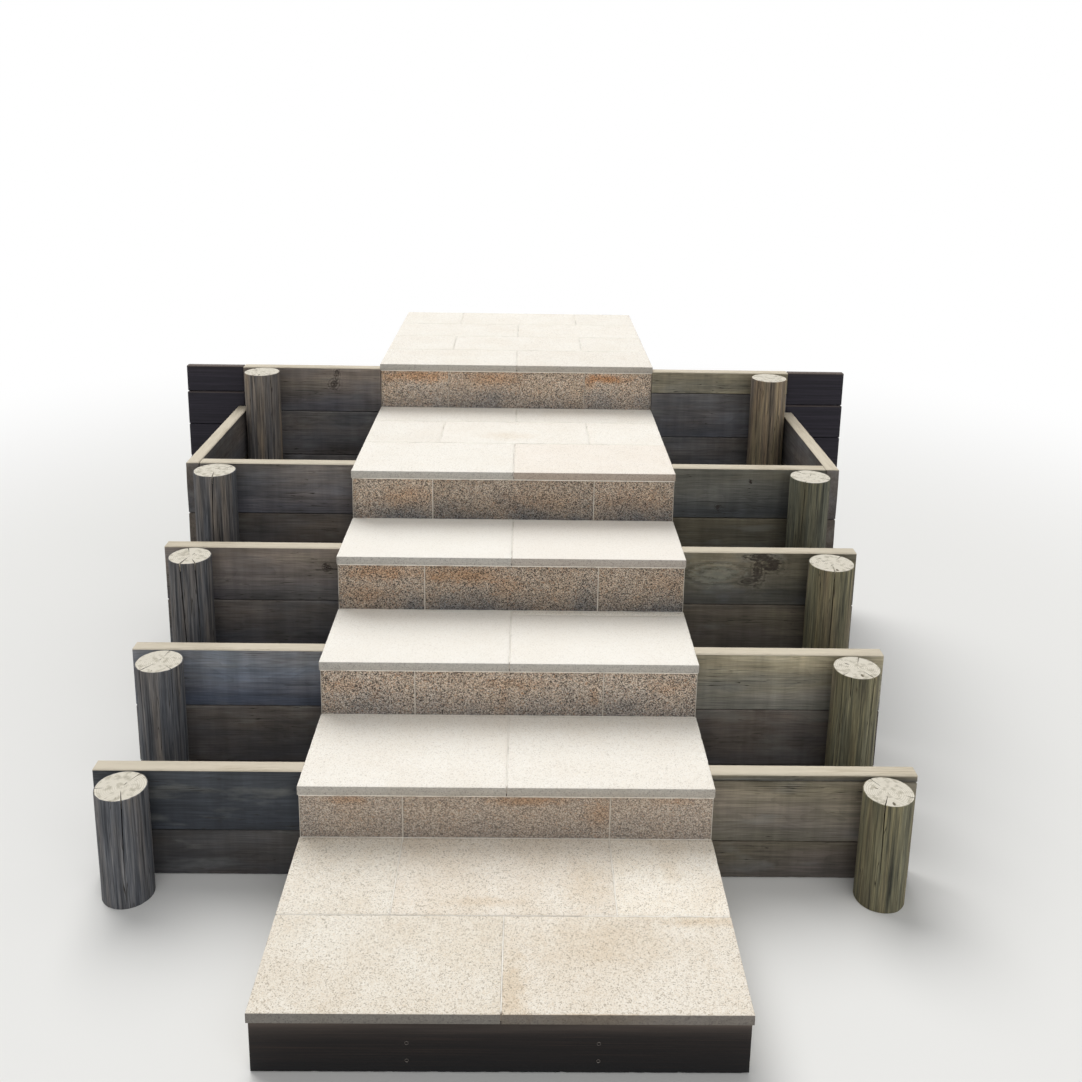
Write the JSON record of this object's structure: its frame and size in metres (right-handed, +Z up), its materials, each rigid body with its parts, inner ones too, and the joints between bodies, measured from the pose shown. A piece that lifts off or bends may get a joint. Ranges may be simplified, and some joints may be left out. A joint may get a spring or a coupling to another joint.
{
  "type": "outdoor stone steps",
  "caption": "Garden flight of pale granite treads and speckled risers on a concrete core, flanked by stepped pine sleeper walls with log posts.",
  "frame": {"origin": "on the ground under the middle of the whole assembly", "axes": "+X to the right of a person climbing, +Y up the flight, +Z up"},
  "size_m": [2.9, 3.801, 1.123],
  "materials": {
    "concrete": "rough, off the form",
    "mortar": "matte, pale grey cream",
    "granite_paver": "flamed, fine speckle",
    "granite_riser": "flamed, coarse rust and black speckle",
    "pine_sleeper": "treated pine, sawn and weathered grey",
    "pine_log": "treated round log, checked and weathered",
    "stained_timber": "dark oil stain, worn"
  },
  "bodies": {
    "root": {"concrete_core": "concrete", "bedding_mortar": "mortar", "bottom_fascia": "stained_timber", "landing_front_row": "granite_paver", "landing_back_row": "granite_paver", "tread_1": "granite_paver", "tread_2": "granite_paver", "tread_2_infill": "granite_paver", "tread_3": "granite_paver", "tread_4_front_row": "granite_paver", "tread_4_middle_row": "granite_paver", "tread_4_back_row": "granite_paver", "top_landing_row_1": "granite_paver", "top_landing_row_2": "granite_paver", "top_landing_row_3": "granite_paver", "top_landing_row_4": "granite_paver", "riser_1": "granite_riser", "riser_2": "granite_riser", "riser_3": "granite_riser", "riser_4": "granite_riser", "riser_5": "granite_riser", "left_wall_1": "pine_sleeper", "left_wall_2": "pine_sleeper", "left_wall_3": "pine_sleeper", "left_wall_4": "pine_sleeper", "left_wall_5": "pine_sleeper", "right_wall_1": "pine_sleeper", "right_wall_2": "pine_sleeper", "right_wall_3": "pine_sleeper", "right_wall_4": "pine_sleeper", "right_wall_5": "pine_sleeper", "left_return": "pine_sleeper", "right_return": "pine_sleeper", "left_stained_boards": "stained_timber", "right_stained_boards": "stained_timber", "left_post_1": "pine_log", "left_post_2": "pine_log", "left_post_3": "pine_log", "left_post_4": "pine_log", "left_post_5": "pine_log", "right_post_1": "pine_log", "right_post_2": "pine_log", "right_post_3": "pine_log", "right_post_4": "pine_log", "right_post_5": "pine_log"}
  },
  "joints": []
}
